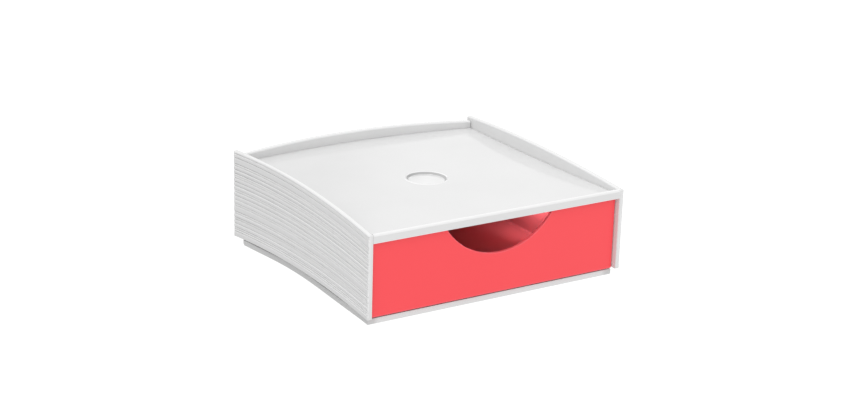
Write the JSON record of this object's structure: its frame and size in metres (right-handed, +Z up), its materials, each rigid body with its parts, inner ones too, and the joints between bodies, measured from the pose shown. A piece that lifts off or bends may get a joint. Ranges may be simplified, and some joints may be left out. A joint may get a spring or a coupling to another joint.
{
  "type": "stackable storage drawer",
  "caption": "Low desk drawer module: white housing with paper-stack ribbed sides, a rimmed tray on top for stacking, and a coral drawer with a round finger scoop.",
  "frame": {"origin": "middle of the bounding box on the surface that the feet stand on", "axes": "+X across to the right seen from the front, -Y out of the drawer front, +Z up"},
  "size_m": [0.264, 0.256, 0.0918],
  "materials": {
    "white_gloss": "polished moulded polystyrene, white",
    "runner_grey": "plain moulded low-friction plastic, light grey",
    "coral_gloss": "smooth moulded polystyrene, coral red",
    "foot_rubber": "soft matt grey rubber",
    "screw_steel": "zinc-plated steel"
  },
  "bodies": {
    "housing": {"base_plinth": "white_gloss", "right_side_panel": "white_gloss", "left_side_panel": "white_gloss", "back_panel": "white_gloss", "top_tray": "white_gloss", "tray_badge": "white_gloss", "right_runner": "runner_grey", "left_runner": "runner_grey", "right_stop_clip": "runner_grey", "left_stop_clip": "runner_grey", "foot_pad_1": "foot_rubber", "foot_pad_2": "foot_rubber", "foot_pad_3": "foot_rubber", "foot_pad_4": "foot_rubber", "base_screw_1": "screw_steel", "base_screw_2": "screw_steel", "base_screw_3": "screw_steel", "base_screw_4": "screw_steel", "base_screw_5": "screw_steel", "base_screw_6": "screw_steel"},
    "drawer_unit": {"drawer": "coral_gloss"}
  },
  "joints": [
    {"name": "drawer_slide", "type": "slide", "parent": "housing", "child": "drawer_unit", "axis": [0, -1, 0], "range_m": [0, 0.1735]}
  ]
}
